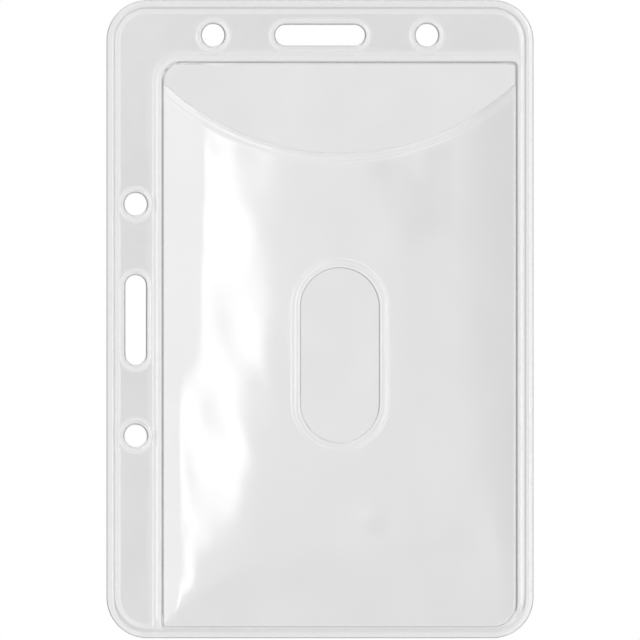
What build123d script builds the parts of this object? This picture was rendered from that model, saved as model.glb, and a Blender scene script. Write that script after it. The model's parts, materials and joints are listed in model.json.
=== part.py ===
from build123d import *
import os

# A clear vinyl badge holder that hangs as it is worn. X runs across it, +Z is up, and the front faces -Y.
# The origin is the centre of the top strap slot, on the plane where the two films are welded together.
# Two films of the same outline are welded round their edge and round a card pocket. The front film is one
# sheet, modelled as five touching solids: the four strips of its border, and the window in front of the
# card's space. Each is near enough to flat for collision to leave that space open.

# Film and outline, in mm
film = 0.30
holder_width = 66.7
holder_height = 99.7
top_margin = 5.5
holder_corner = 6.35

# The card pocket: its seam, and the height of the space that the card slides into
pocket_left = -24.6
pocket_right = 30.7
pocket_top = -4.3
pocket_bottom = -92.5
corner_top_left = 2.3
corner_top_right = 0.5
corner_bottom_right = 3.75
corner_bottom_left = 0.5
card_space = 0.9
card_step = 0.35
pocket_space = 2.0
pocket_shoulder = 6.0
split_clear = 0.05

# Strap slots and round holes, punched through both films
slot_length = 14.0
slot_width = 3.2
side_slot_x = -28.8
side_slot_z = -44.5
hole_radius = 1.75
top_hole_reach = 16.7
side_hole_reach = 18.1

# Openings in the front film only
thumb_x = 3.1
thumb_z = -50.0
thumb_width = 12.2
thumb_height = 27.2
mouth_x = 3.1
mouth_radius = 40.0
mouth_lowest = -18.4
mouth_clear = 0.5

# Pressed details
rim_height = 0.12
rim_width = 0.8
thumb_rim_width = 1.25
mouth_rim_width = 1.4
border_width = 1.5
border_depth = 0.08

middle_z = top_margin - holder_height / 2
pocket_width = pocket_right - pocket_left
pocket_height = pocket_top - pocket_bottom
pocket_centre = ((pocket_left + pocket_right) / 2, (pocket_top + pocket_bottom) / 2)
mouth_z = mouth_lowest + mouth_radius
front_depth = pocket_space + film + rim_height


def at(x, z, depth=0.0):
    """A place on the holder, depth mm in front of the weld plane, where a sketch faces the front."""
    return Plane.XZ * Pos(x, z, depth)


def prism(sketch, x, z, back, front):
    """The sketch as a solid from back to front, both measured forwards from the weld plane."""
    return extrude(at(x, z, back) * sketch, amount=front - back)


def outline(inset):
    """The holder's outline, drawn in by inset."""
    return RectangleRounded(holder_width - 2 * inset, holder_height - 2 * inset, holder_corner - inset)


def pocket_section(depth, grow):
    """The pocket's outline at one depth, grown outwards, or drawn in where grow is negative."""
    corners = {
        (-1, 1): corner_top_left,
        (1, 1): corner_top_right,
        (1, -1): corner_bottom_right,
        (-1, -1): corner_bottom_left,
    }
    section = Rectangle(pocket_width + 2 * grow, pocket_height + 2 * grow)
    for (side_x, side_z), radius in corners.items():
        corner = section.vertices().sort_by(lambda v: v.X * side_x + v.Y * side_z)[-1]
        section = fillet(corner, max(radius + grow, corner_bottom_left))
    return at(*pocket_centre, depth) * section


def pocket_body(grow):
    """The space inside the pocket, grown outwards and forwards by grow: a low step that clears a card's
    edges, and then a long shoulder up to the window."""
    step = grow - card_step
    foot = loft([pocket_section(-film / 2, grow), pocket_section(card_space + grow, step)], ruled=True)
    window = pocket_section(pocket_space + grow, grow - pocket_shoulder)
    return foot + loft([pocket_section(card_space + grow, step), window], ruled=True)


def ring(sketch_outer, sketch_inner, x, z, back, front):
    """A raised ring between two outlines."""
    return prism(sketch_outer, x, z, back, front) - prism(sketch_inner, x, z, back, front)


def slot(grow=0.0):
    """A strap slot along X."""
    return SlotOverall(slot_length + 2 * grow, slot_width + 2 * grow)


def upright_slot(grow=0.0):
    """A strap slot along Z."""
    return Rot(0, 0, 90) * slot(grow)


def hole(grow=0.0):
    """A round hole."""
    return Circle(hole_radius + grow)


def thumb(grow=0.0):
    """The thumb slot's outline, upright."""
    return Rot(0, 0, 90) * SlotOverall(thumb_height + 2 * grow, thumb_width + 2 * grow)


def mouth(drop=0.0):
    """The crescent between the pocket's top seam and an arc, which is the edge that the card goes in over,
    or with drop a line that much lower. It reaches past the seam, so no step is left standing there."""
    room = Rectangle(pocket_width + 2 * mouth_clear, pocket_height)
    room = Pos(pocket_centre[0], pocket_centre[1] + mouth_clear) * room
    return room & Pos(mouth_x, mouth_z) * Circle(mouth_radius + drop)


# What is punched through both films: (shape, x, z)
punched = [(slot, 0, 0), (upright_slot, side_slot_x, side_slot_z)]
for side in (-1, 1):
    punched.append((hole, side * top_hole_reach, 0))
    punched.append((hole, side_slot_x, side_slot_z + side * side_hole_reach))


def back_sheet():
    """The flat film that the card rests against."""
    sheet = prism(outline(0), 0, middle_z, -film, 0)
    for shape, x, z in punched:
        sheet -= prism(shape(), x, z, -film, 0)
    return sheet


def front_sheet():
    """The film with the window, lifted off the back one over the pocket."""
    raised = pocket_body(film) & prism(outline(0), 0, middle_z, 0, front_depth)
    rims = ring(thumb(thumb_rim_width), thumb(), thumb_x, thumb_z, 0, front_depth)
    rims += prism(mouth(mouth_rim_width) - mouth(), 0, 0, 0, front_depth)
    raised += pocket_body(film + rim_height) & rims
    raised -= prism(mouth(), 0, 0, film, front_depth)
    raised -= prism(thumb(), thumb_x, thumb_z, 0, front_depth)

    sheet = prism(outline(0), 0, middle_z, 0, film)
    sheet -= ring(outline(0), outline(border_width), 0, middle_z, film - border_depth, film)
    for shape, x, z in punched:
        sheet += ring(shape(rim_width), shape(), x, z, film / 2, film + rim_height)
        sheet -= prism(shape(), x, z, 0, front_depth)
    return sheet + raised - pocket_body(0)


def region(left, right, bottom, top, back, front):
    """A block of space that a part of the front film lies in."""
    return prism(Rectangle(right - left, top - bottom), (left + right) / 2, (bottom + top) / 2, back, front)


def split_front(sheet):
    """The front film as the window, in front of the card's space, and four strips of border behind that."""
    side = holder_width / 2
    bottom = top_margin - holder_height
    inner_left = pocket_left + card_step + split_clear
    inner_right = pocket_right - card_step - split_clear
    strips = {
        "front_left": (-side, inner_left, bottom, top_margin),
        "front_top": (inner_left, inner_right, middle_z, top_margin),
        "front_right": (inner_right, side, bottom, top_margin),
        "front_bottom": (inner_left, inner_right, bottom, middle_z),
    }
    pieces = {name: sheet & region(*limits, 0, card_space) for name, limits in strips.items()}
    pieces["front_window"] = sheet & region(-side, side, bottom, top_margin, card_space, front_depth)
    return pieces


parts = {"back_sheet": back_sheet(), **split_front(front_sheet())}

os.makedirs("parts", exist_ok=True)
for name, part in parts.items():
    part.label = name
    export_step(part, f"parts/{name}.step")
    print(name, len(part.solids()), round(part.volume, 1))
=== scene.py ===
import json
import math

import bpy
import numpy as np
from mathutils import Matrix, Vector, noise
from mathutils.geometry import delaunay_2d_cdt


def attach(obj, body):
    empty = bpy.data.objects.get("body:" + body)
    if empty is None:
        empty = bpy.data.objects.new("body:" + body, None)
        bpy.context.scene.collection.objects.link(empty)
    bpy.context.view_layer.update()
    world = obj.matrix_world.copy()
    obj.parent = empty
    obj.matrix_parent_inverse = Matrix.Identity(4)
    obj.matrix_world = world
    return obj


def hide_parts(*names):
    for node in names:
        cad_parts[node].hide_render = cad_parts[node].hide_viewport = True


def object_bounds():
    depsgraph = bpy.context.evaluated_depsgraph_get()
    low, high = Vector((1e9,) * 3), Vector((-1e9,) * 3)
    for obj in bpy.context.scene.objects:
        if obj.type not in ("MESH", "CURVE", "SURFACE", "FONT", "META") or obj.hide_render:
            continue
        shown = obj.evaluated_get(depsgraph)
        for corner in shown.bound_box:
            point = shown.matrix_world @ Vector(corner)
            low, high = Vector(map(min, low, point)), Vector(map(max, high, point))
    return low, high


# A clear vinyl badge holder, hanging as it is worn. It is two films, welded round their edge and round a card
# pocket. X runs across it, +Z is up, and the front faces -Y. Shapes are drawn in millimetres, and become
# metres where a film is made.

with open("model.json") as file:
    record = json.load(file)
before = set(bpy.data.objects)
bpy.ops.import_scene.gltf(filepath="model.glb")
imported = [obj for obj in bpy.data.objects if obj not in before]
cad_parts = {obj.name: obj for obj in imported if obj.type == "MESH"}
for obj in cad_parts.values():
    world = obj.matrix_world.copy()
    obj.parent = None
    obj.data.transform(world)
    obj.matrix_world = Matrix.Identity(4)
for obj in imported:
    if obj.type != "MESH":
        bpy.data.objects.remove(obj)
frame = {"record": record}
cad_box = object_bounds()
mounts = {m["name"]: m for m in frame["record"]["mounts"]}

MM = 0.001
LEFT, RIGHT = cad_box[0].x / MM, cad_box[1].x / MM
BOTTOM, TOP = cad_box[0].z / MM, cad_box[1].z / MM
CORNER = 6.35

# Boxes are (left, right, bottom, top), and corner radii go round from the top left
POCKET = (-24.6, 30.7, -92.5, -4.3)
POCKET_CORNERS = (2.8, 0.5, 3.75, 0.5)
THUMB = (-3.0, 9.2, -63.6, -36.4)

# The mouth lies just inside the pocket's seam, and a long arc closes it below
MOUTH = (-24.35, 30.45, -60.0, -4.55)
MOUTH_CORNERS = (2.55, 0.3, 0.3, 0.3)
MOUTH_CENTRE = (3.1, 21.6)
MOUTH_RADIUS = 40.0

# The films: how far each stands off the weld plane, and how thick it is
AIR = 0.02
FRONT_FILM = 0.27
BACK_FILM = 0.22

# The front film over the pocket: its height, where across it is fullest, and how far up from its foot it
# still rises
BULGE = 1.7
FULLEST = 21.0
FOOT_RISE = 52.0

# How round that rise is from the sides and from the foot, and how sharply the two meet
SIDE_CURVE, FOOT_CURVE = 1.7, 1.5
CROWN_BLEND = 4

# The step at the seam, how far in from it the film is slack, and where and how far the mouth stands open
SEAM_STEP, SEAM_STEP_REACH = 0.10, 2.4
SLACK_REACH = (0.5, 6)
MOUTH_LIFT, MOUTH_LIFT_REACH = 0.45, (-60, -14)

# Unevenness, as (height, (size across, size up), seed)
LEAN = [(0.025, (19, 31), 3.7), (0.006, (7, 11), 8.1)]
SLACK = (0.05, (8, 15), 79.3)
CREASES = (0.008, (4, 9), 83.2)
CREASE_SLANT = 0.35

# Small dents in the front film, as (x, z, radius, height)
DENTS = [
    (8.2, -75.0, 3.2, 0.062),
    (-18.4, -17.9, 3.4, 0.025),
    (-22.6, -77.0, 3.0, -0.05),
    (-22.6, -86.0, 3.6, -0.06),
]

# Pressed beads and grooves, as (height, distance from the line that they follow, half width)
BORDER_BEAD = (0.09, 0.8, 0.62)
BORDER_GROOVE = (-0.07, 1.5, 0.4)
SEAM_GROOVE = (-0.085, 0, 0.18)
SEAM_BEAD = (0.03, 0.45, 0.25)
RIM_BEAD = (0.07, 0.3, 0.27)
LIP_GROOVE = (-0.05, 1.35, 0.22)
MOUTH_GROOVE = (-0.05, 0.26, 0.2)
BACK_BORDER_GROOVE = (-0.02, 1.5, 0.4)
BACK_SEAM_GROOVE = (-0.02, 0, 0.3)

# Raised bands, as (height, where it rises from and to, where it falls from and to)
SEAM_BAND = (0.02, (0.2, 0.5), (1.3, 1.7))
RIM_BAND = (0.03, (-2, -1), (0.5, 1.0))
LIP_BAND = (0.045, (0.05, 0.45), (0.5, 1.9))

# Where the border's groove gives way to the seam, and how far from it the lips and the mouth's groove start
GROOVE_FADE = (0.15, 0.75)
LIP_START = -0.3
MOUTH_GROOVE_START = -0.6

# How cut edges are rounded, as (depth, reach)
CUT_ROUNDING = (0.13, 0.2)
PUNCH_ROUNDING = (0.14, 0.32)
BACK_ROUNDING = (0.11, 0.2)


# ---- flat shapes ----

ARC_STEP = 0.35
LEAST_RADIUS = 0.02


class Box:
    """A rectangle with its own radius at each corner. A slot or a circle is one with the largest radii."""

    def __init__(self, left, right, bottom, top, radii):
        self.sides = (left, right, bottom, top)
        self.radii = radii

    def distance(self, x, z):
        """How far outside the shape each point is, and negative inside."""
        left, right, bottom, top = self.sides
        from_x, from_z = x - (left + right) / 2, z - (bottom + top) / 2
        upper_left, upper_right, lower_right, lower_left = self.radii
        upper = np.where(from_x < 0, upper_left, upper_right)
        lower = np.where(from_x < 0, lower_left, lower_right)
        radius = np.where(from_z > 0, upper, lower)
        over_x = np.abs(from_x) - (right - left) / 2 + radius
        over_z = np.abs(from_z) - (top - bottom) / 2 + radius
        outside = np.hypot(np.maximum(over_x, 0), np.maximum(over_z, 0))
        return outside + np.minimum(np.maximum(over_x, over_z), 0) - radius

    def loop(self, grow, step):
        """Points round the shape's outline, grown outwards, about one step apart."""
        left, right, bottom, top = self.sides
        corners = [(left, top, 90), (right, top, 0), (right, bottom, -90), (left, bottom, -180)]
        points = []
        for (x, z, start), radius in zip(corners, self.radii):
            grown = max(radius + grow, LEAST_RADIUS)
            out_x = math.copysign(1, x - (left + right) / 2)
            out_z = math.copysign(1, z - (bottom + top) / 2)
            centre_x, centre_z = x + out_x * (grow - grown), z + out_z * (grow - grown)
            count = max(2, math.ceil(grown * math.pi / 2 / min(step, ARC_STEP)) + 1)
            for angle in np.radians(np.linspace(start + 90, start, count)):
                points.append((centre_x + grown * math.cos(angle), centre_z + grown * math.sin(angle)))
        return spread(points, step)


class Crescent:
    """The part of a circle that lies inside a box."""

    def __init__(self, box, centre, radius):
        self.box = box
        self.centre = centre
        self.radius = radius

    def distance(self, x, z):
        """How far outside the shape each point is, and negative inside."""
        round_edge = np.hypot(x - self.centre[0], z - self.centre[1]) - self.radius
        return np.maximum(self.box.distance(x, z), round_edge)

    def arc(self, grow, step):
        """Points along the lower edge, grown outwards, from its left end to its right one."""
        left, right = self.box.sides[:2]
        radius = self.radius + grow
        ends = [math.acos((side - self.centre[0]) / radius) for side in (left, right)]
        count = math.ceil(radius * abs(ends[0] - ends[1]) / step) + 1
        angles = np.linspace(-ends[0], -ends[1], count)
        x, z = self.centre
        return [(x + radius * math.cos(angle), z + radius * math.sin(angle)) for angle in angles]

    def loop(self, step):
        """Points round the outline: the arc, and then what of the box is clear above its ends."""
        lower = self.arc(0, step)
        clear = max(lower[0][1], lower[-1][1]) + 0.3 * step
        upper = [point for point in self.box.loop(0, step) if point[1] > clear]
        return lower + upper[::-1]


def spread(points, step):
    """The closed run of points with more put in where two are over a step apart."""
    result = []
    for (x, z), (next_x, next_z) in zip(points, points[1:] + points[:1]):
        length = math.hypot(next_x - x, next_z - z)
        if length < 1e-6:
            continue
        for share in np.arange(0, 1, 1 / max(1, math.ceil(length / step))):
            result.append((x + share * (next_x - x), z + share * (next_z - z)))
    return result


def round_hole(name):
    """The hole at a mount."""
    x, _, z = (value / MM for value in mounts[name]["pos_m"])
    radius = mounts[name]["dims"]["r_mm"]
    return Box(x - radius, x + radius, z - radius, z + radius, (radius,) * 4)


def strap_slot(name, upright):
    """The slot at a mount."""
    x, _, z = (value / MM for value in mounts[name]["pos_m"])
    radius = mounts[name]["dims"]["hole_r_mm"]
    half = mounts[name]["dims"]["slot_length_mm"] / 2
    across, up = (radius, half) if upright else (half, radius)
    return Box(x - across, x + across, z - up, z + up, (radius,) * 4)


outline = Box(LEFT, RIGHT, BOTTOM, TOP, (CORNER,) * 4)
pocket = Box(*POCKET, POCKET_CORNERS)
thumb = Box(*THUMB, ((THUMB[1] - THUMB[0]) / 2,) * 4)
mouth = Crescent(Box(*MOUTH, MOUTH_CORNERS), MOUTH_CENTRE, MOUTH_RADIUS)
punched = [strap_slot("top_slot", False), strap_slot("side_slot", True)]
punched += [round_hole(name) for name in mounts if "_hole_" in name]


# ---- heights ----

def ease(value, low, high):
    """0 at low, 1 at high, and smooth between."""
    share = np.clip((value - low) / (high - low), 0, 1)
    return share * share * (3 - 2 * share)


def ridge(value, height, middle, half_width):
    """A smooth bead at middle, or a groove where the height is negative."""
    return height * (1 - ease(np.abs(value - middle), 0, half_width))


def band(value, height, rise, fall):
    """A level band with sloping sides."""
    return height * (ease(value, *rise) - ease(value, *fall))


def rounded(value, depth, reach):
    """What a cut edge loses to rounding: depth at the cut, falling like a quarter circle to 0 at reach."""
    share = 1 - np.clip(value / reach, 0, 1)
    return depth * (1 - np.sqrt(1 - share * share))


def ripple(x, z, height, size, seed):
    """Smooth unevenness about size across and up, up to height either way."""
    spots = [Vector((across / size[0], up / size[1], seed)) for across, up in zip(x, z)]
    return height * np.array([noise.noise(spot) for spot in spots])


def lean(x, z):
    """How far the whole holder stands off the weld plane, since soft film never hangs quite flat."""
    return sum(ripple(x, z, *waves) for waves in LEAN)


def bulge(x, z):
    """How far the front film stands off the back one over the pocket. It is fullest right of the middle."""
    left, right, bottom, _ = POCKET
    reach = np.where(x < FULLEST, FULLEST - left, right - FULLEST)
    across = np.clip(np.abs(x - FULLEST) / reach, 0, 1)
    up = np.clip(1 - (z - bottom) / FOOT_RISE, 0, 1)
    least = 0.001
    from_side = np.maximum(1 - across ** SIDE_CURVE, least)
    from_foot = np.maximum(1 - up ** FOOT_CURVE, least)
    crown = (from_side ** -CROWN_BLEND + from_foot ** -CROWN_BLEND) ** (-1 / CROWN_BLEND)

    slack = ripple(x, z, *SLACK) + ripple(x + CREASE_SLANT * z, z, *CREASES)
    slack += MOUTH_LIFT * ease(z, *MOUTH_LIFT_REACH)
    for dent_x, dent_z, radius, height in DENTS:
        slack += ridge(np.hypot(x - dent_x, z - dent_z), height, 0, radius)
    inside = np.maximum(-pocket.distance(x, z), 0)
    step = SEAM_STEP * ease(inside, 0, SEAM_STEP_REACH)
    return BULGE * crown + step + slack * ease(inside, *SLACK_REACH)


def front_heights(x, z):
    """The front film's back and front faces."""
    seam = pocket.distance(x, z)
    edge = -outline.distance(x, z)
    cut = np.min([shape.distance(x, z) for shape in punched], axis=0)
    window_cut = np.minimum(thumb.distance(x, z), mouth.distance(x, z))
    lip = np.where(seam < LIP_START, window_cut, np.inf)

    back = AIR + lean(x, z) + bulge(x, z) * (seam < 0)
    thick = FRONT_FILM + ridge(edge, *BORDER_BEAD)
    thick += ridge(edge, *BORDER_GROOVE) * ease(seam, *GROOVE_FADE)
    thick += ridge(seam, *SEAM_GROOVE) + ridge(seam, *SEAM_BEAD) + band(seam, *SEAM_BAND)
    thick += ridge(cut, *RIM_BEAD) + band(cut, *RIM_BAND)
    thick += band(lip, *LIP_BAND) + ridge(lip, *LIP_GROOVE)
    thick += ridge(mouth.distance(x, z), *MOUTH_GROOVE) * (seam < MOUTH_GROOVE_START)
    thick -= rounded(np.minimum(edge, window_cut), *CUT_ROUNDING)
    thick -= rounded(cut, *PUNCH_ROUNDING)
    return back, back + thick


def back_heights(x, z):
    """The back film's front and back faces, where behind the weld plane is negative."""
    edge = -outline.distance(x, z)
    seam = pocket.distance(x, z)
    cut = np.min([shape.distance(x, z) for shape in punched], axis=0)
    front = lean(x, z) - AIR
    thick = BACK_FILM + ridge(edge, *BACK_BORDER_GROOVE) + ridge(seam, *BACK_SEAM_GROOVE)
    thick -= rounded(np.minimum(edge, cut), *BACK_ROUNDING)
    return front - thick, front


# ---- films ----

# How far apart the points between the drawn lines are, and how far in from a cut, or out from the seam, each
# drawn line lies
GRID = 0.95
ROW = 0.866 * GRID
EDGE_LINES = (0, 0.03, 0.08, 0.14, 0.2)
BORDER_LINES = (0.35, 0.55, 0.8, 1.0, 1.2, 1.35, 1.5, 1.65, 1.9, 2.3)
SEAM_LINES = (-0.8, -0.5, -0.18, -0.09, 0, 0.09, 0.18, 0.3, 0.45, 0.57, 0.7, 1.3, 1.5, 1.7)
LIP_LINES = (0.32, 0.45, 0.7, 0.95, 1.13, 1.24, 1.35, 1.46, 1.57, 1.8)
RIM_LINES = (0.3, 0.42, 0.57, 0.75, 1.0, 1.3)
CREASE_ANGLE = 50


def lattice(lines):
    """Evenly spread points inside the holder, clear of the drawn lines."""
    points = []
    for row in range(int((TOP - BOTTOM) / ROW) + 1):
        z = BOTTOM + row * ROW
        shift = GRID / 2 * (row % 2)
        points += [(x + shift, z) for x in np.arange(LEFT, RIGHT, GRID)]
    clear, cell = 0.5 * GRID, 0.55 * GRID
    filled = {}
    for line, _ in lines:
        for x, z in line:
            filled.setdefault((x // cell, z // cell), []).append((x, z))
    around = [(across, up) for across in (-1, 0, 1) for up in (-1, 0, 1)]
    kept = []
    for x, z in points:
        cells = [(x // cell + across, z // cell + up) for across, up in around]
        near = [point for spot in cells for point in filled.get(spot, ())]
        if all(math.hypot(x - near_x, z - near_z) > clear for near_x, near_z in near):
            kept.append((x, z))
    return kept


def drawn_lines(windowed):
    """Every line that the film is shaped along, as (points, closed)."""
    lines = [(outline.loop(-inset, 0.8), True) for inset in EDGE_LINES + BORDER_LINES]
    for shape in punched:
        lines += [(shape.loop(grow, 0.4), True) for grow in EDGE_LINES + RIM_LINES]
    lines += [(pocket.loop(grow, 0.8), True) for grow in SEAM_LINES]
    if windowed:
        lines += [(thumb.loop(grow, 0.5), True) for grow in EDGE_LINES + LIP_LINES]
        lines.append((mouth.loop(0.6), True))
        lines += [(mouth.arc(grow, 0.6), False) for grow in EDGE_LINES[1:] + LIP_LINES]
    return lines


def film(name, heights, openings, windowed):
    """A closed sheet of film with the holder's outline and those openings. A flat net of triangles is laid at
    the height of each face, and a wall joins the two along every cut."""
    lines = drawn_lines(windowed)
    points, edges = [], []
    for line, closed in lines:
        first = len(points)
        points += line
        edges += [(first + i, first + i + 1) for i in range(len(line) - 1)]
        if closed:
            edges.append((len(points) - 1, first))
    points += lattice(lines)
    flat = delaunay_2d_cdt([Vector(p) for p in points], edges, [], 0, 1e-5, False)
    spots = np.array([tuple(v) for v in flat[0]])
    triangles = np.array(flat[2])
    middle = spots[triangles].mean(axis=1)
    kept = outline.distance(*middle.T) < 0
    for shape in openings:
        kept &= shape.distance(*middle.T) > 0
    triangles = triangles[kept]

    used, triangles = np.unique(triangles, return_inverse=True)
    triangles = triangles.reshape(-1, 3)
    x, z = spots[used].T
    low, high = heights(x, z)
    count = len(used)
    places = np.concatenate([np.stack([x, -low, z], 1), np.stack([x, -high, z], 1)]) * MM
    sides = dict.fromkeys(map(tuple, triangles[:, [0, 1, 1, 2, 2, 0]].reshape(-1, 2).tolist()))
    rim = [(a, b, b + count, a + count) for a, b in sides if (b, a) not in sides]
    faces = triangles[:, ::-1].tolist() + (triangles + count).tolist() + rim
    mesh = bpy.data.meshes.new(name)
    mesh.from_pydata(places.tolist(), [], faces)
    mesh.validate()
    piece = bpy.data.objects.new(name, mesh)
    bpy.context.collection.objects.link(piece)
    bpy.ops.object.select_all(action="DESELECT")
    piece.select_set(True)
    bpy.context.view_layer.objects.active = piece
    bpy.ops.object.mode_set(mode="EDIT")
    bpy.ops.mesh.select_all(action="SELECT")
    bpy.ops.mesh.normals_make_consistent(inside=False)
    bpy.ops.object.mode_set(mode="OBJECT")
    bpy.ops.object.shade_smooth_by_angle(angle=math.radians(CREASE_ANGLE))
    return piece


# ---- material ----

# How large the film's patterns are, as noise scales, and how strong its cloudiness and its orange peel are
CLOUD_SCALE, HAZE_SCALE, PEEL_SCALE = 45, 90, 260
CLOUD_DEPTH = 0.012
PEEL_STRENGTH, PEEL_HEIGHT = 0.03, 0.0001
VINYL_IOR = 1.5


def node(tree, kind, output, inputs, **settings):
    """One output of a new node, whose inputs are given values or joined to other nodes' outputs."""
    made = tree.nodes.new(kind)
    for name, value in settings.items():
        setattr(made, name, value)
    for name, source in inputs.items():
        if isinstance(source, bpy.types.NodeSocket):
            tree.links.new(source, made.inputs[name])
        else:
            made.inputs[name].default_value = source
    return made.outputs[output]


def clear_vinyl(name, grey, roughness):
    """Clear glossy film that is a little cloudy, with roughness between two limits and a fine orange peel."""
    material = bpy.data.materials.new(name)
    material.use_nodes = True
    tree = material.node_tree
    place = node(tree, "ShaderNodeTexCoord", "Object", {})

    def pattern(scale, detail):
        return node(tree, "ShaderNodeTexNoise", "Fac", {"Vector": place, "Scale": scale, "Detail": detail})

    darker, paler = grey - CLOUD_DEPTH, grey + CLOUD_DEPTH
    clouds = {"Factor": pattern(CLOUD_SCALE, 4), "A": (darker,) * 3 + (1,), "B": (paler,) * 3 + (1,)}
    haze = {"Value": pattern(HAZE_SCALE, 3), "From Min": 0.3, "From Max": 0.7}
    haze["To Min"], haze["To Max"] = roughness
    peel = {"Height": pattern(PEEL_SCALE, 2), "Strength": PEEL_STRENGTH, "Distance": PEEL_HEIGHT}

    shader = tree.nodes["Principled BSDF"].inputs
    shader["Transmission Weight"].default_value = 1
    shader["IOR"].default_value = VINYL_IOR
    tree.links.new(node(tree, "ShaderNodeMix", "Result", clouds, data_type="RGBA"), shader["Base Color"])
    tree.links.new(node(tree, "ShaderNodeMapRange", "Result", haze), shader["Roughness"])
    tree.links.new(node(tree, "ShaderNodeBump", "Normal", peel), shader["Normal"])
    return material


# ---- studio ----

# How bright the studio is behind the holder, by distance from straight behind, and in front, from left to
# right, as (position, level)
BEHIND = [(0, 0.845), (0.10, 0.835), (0.24, 0.36), (0.42, 0.28), (0.62, 0.42), (1, 0.36)]
BEFORE = [(0, 0.10), (0.14, 0.25), (0.27, 1.00), (0.455, 0.95), (0.465, 0.66), (0.5, 0.52), (0.58, 0.34),
          (1, 0.10)]
BEFORE_LEVEL = 2.9

# The tall soft window in front, as a direction with its reach across and up
WINDOW_SIDE, WINDOW_HEIGHT = -0.112, -0.02
WINDOW_REACH = (0.028, 0.072)
WINDOW_LEVEL = 2.9

# The dark round the camera: how far out it starts to fade and is gone, and its share of the level
DARK_REACH = (0.014, 0.03)
DARK_LEVEL = 0.5


def ramp(tree, place, stops):
    """A grey that follows (position, level) stops."""
    grey = node(tree, "ShaderNodeValToRGB", "Color", {"Fac": place})
    points = grey.node.color_ramp.elements
    for position, _ in stops[1:-1]:
        points.new(position)
    for point, (position, level) in zip(points, stops):
        point.position = position
        point.color = (level, level, level, 1)
    return grey


def studio_world():
    """A white studio to look at. The film itself sees one that is pale behind the holder and greyer to the
    sides. In front of the holder it sees one that is bright on the left, with a tall soft window there, and
    dim to the right and round the camera."""
    world = bpy.data.worlds.new("studio")
    bpy.context.scene.world = world
    world.use_nodes = True
    tree = world.node_tree
    tree.nodes.clear()

    def vector(operation, first, second):
        return node(tree, "ShaderNodeVectorMath", "Vector", {0: first, 1: second}, operation=operation)

    def length(source):
        return node(tree, "ShaderNodeVectorMath", "Value", {0: source}, operation="LENGTH")

    def fade(source, reach, levels):
        limits = {"From Min": reach[0], "From Max": reach[1], "To Min": levels[0], "To Max": levels[1]}
        limits["Value"] = source
        return node(tree, "ShaderNodeMapRange", "Result", limits, interpolation_type="SMOOTHSTEP")

    def mix(factor, first, second):
        colours = {"Factor": factor, "A": first, "B": second}
        return node(tree, "ShaderNodeMix", "Result", colours, data_type="RGBA")

    way = node(tree, "ShaderNodeTexCoord", "Generated", {})
    aside = length(vector("MULTIPLY", way, (1, 0, 1)))
    behind = ramp(tree, aside, BEHIND)

    to_right = node(tree, "ShaderNodeSeparateXYZ", "X", {"Vector": way})
    across = node(tree, "ShaderNodeMapRange", "Result", {"Value": to_right, "From Min": -1})
    level = fade(aside, DARK_REACH, (DARK_LEVEL * BEFORE_LEVEL, BEFORE_LEVEL))
    before = vector("MULTIPLY", ramp(tree, across, BEFORE), level)
    from_window = vector("SUBTRACT", way, (WINDOW_SIDE, 0, WINDOW_HEIGHT))
    off = length(vector("MULTIPLY", from_window, (1 / WINDOW_REACH[0], 0, 1 / WINDOW_REACH[1])))
    lit = vector("ADD", before, fade(off, (0, 1), (WINDOW_LEVEL, 0)))

    to_back = to_right.node.outputs["Y"]
    is_behind = node(tree, "ShaderNodeMath", "Value", {0: to_back, 1: 0}, operation="GREATER_THAN")
    from_camera = node(tree, "ShaderNodeLightPath", "Is Camera Ray", {})
    seen = mix(from_camera, mix(is_behind, lit, behind), (1, 1, 1, 1))
    studio = node(tree, "ShaderNodeBackground", "Background", {"Color": seen})
    out = tree.nodes.new("ShaderNodeOutputWorld")
    tree.links.new(studio, out.inputs["Surface"])


# The lamp, the floor and the camera, in metres and watts, with the camera's sensor in millimetres
LAMP_PLACE, LAMP_SIDE, LAMP_WATTS = (0.1, -0.2, 1.1), 0.9, 3
FLOOR_DROP, FLOOR_RADIUS, FLOOR_GREY = 0.04, 0.6, 0.78
CAMERA_AWAY, VIEW_WIDTH, SENSOR = 4.0, 0.100, 36
VIEW_CENTRE = (TOP - 50) * MM


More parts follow.
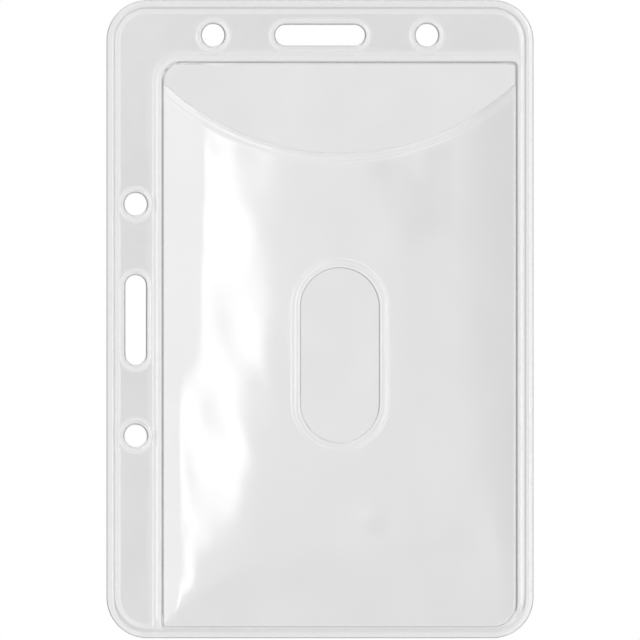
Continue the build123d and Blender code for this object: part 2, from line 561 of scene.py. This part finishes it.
def softbox():
    """A square studio light overhead that isn't itself in the picture."""
    data = bpy.data.lights.new("overhead", "AREA")
    data.shape = "SQUARE"
    data.size = LAMP_SIDE
    data.energy = LAMP_WATTS
    lamp = bpy.data.objects.new("overhead", data)
    bpy.context.collection.objects.link(lamp)
    lamp.location = LAMP_PLACE
    middle = Vector((0, 0, (TOP + BOTTOM) / 2 * MM))
    lamp.rotation_euler = (middle - lamp.location).to_track_quat("-Z", "Y").to_euler()
    lamp.visible_camera = False
    lamp.visible_glossy = False


def make_floor():
    """A round pale table top under the holder."""
    bpy.ops.object.select_all(action="DESELECT")
    place = (0, 0, BOTTOM * MM - FLOOR_DROP)
    bpy.ops.mesh.primitive_circle_add(vertices=96, radius=FLOOR_RADIUS, fill_type="NGON", location=place)
    floor = bpy.context.object
    floor.name = "floor"
    material = bpy.data.materials.new("pale_floor")
    material.use_nodes = True
    shader = material.node_tree.nodes["Principled BSDF"]
    shader.inputs["Base Color"].default_value = (FLOOR_GREY, FLOOR_GREY, FLOOR_GREY, 1)
    shader.inputs["Roughness"].default_value = 0.8
    floor.data.materials.append(material)
    floor.visible_glossy = False


def make_camera():
    """Straight on from the front, from far enough away that nothing is foreshortened."""
    data = bpy.data.cameras.new("camera")
    data.sensor_width = SENSOR
    data.lens = SENSOR * CAMERA_AWAY / VIEW_WIDTH
    data.clip_end = 20
    camera = bpy.data.objects.new("camera", data)
    bpy.context.collection.objects.link(camera)
    camera.location = (0, -CAMERA_AWAY, VIEW_CENTRE)
    camera.rotation_euler = (math.radians(90), 0, 0)
    bpy.context.scene.camera = camera


bpy.context.scene.view_settings.view_transform = "Standard"
make_camera()
studio_world()
make_floor()
softbox()


# ---- the holder ----

back_film = film("back_film", back_heights, punched, False)
back_film.data.materials.append(clear_vinyl("back_vinyl", 0.905, (0.04, 0.09)))
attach(back_film, "root")
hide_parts("back_sheet")

# The CAD has the front film as four strips of border and a window
front_film = film("front_film", front_heights, punched + [thumb, mouth], True)
front_film.data.materials.append(clear_vinyl("front_vinyl", 0.92, (0.03, 0.06)))
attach(front_film, "root")
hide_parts("front_left", "front_top", "front_right", "front_bottom", "front_window")
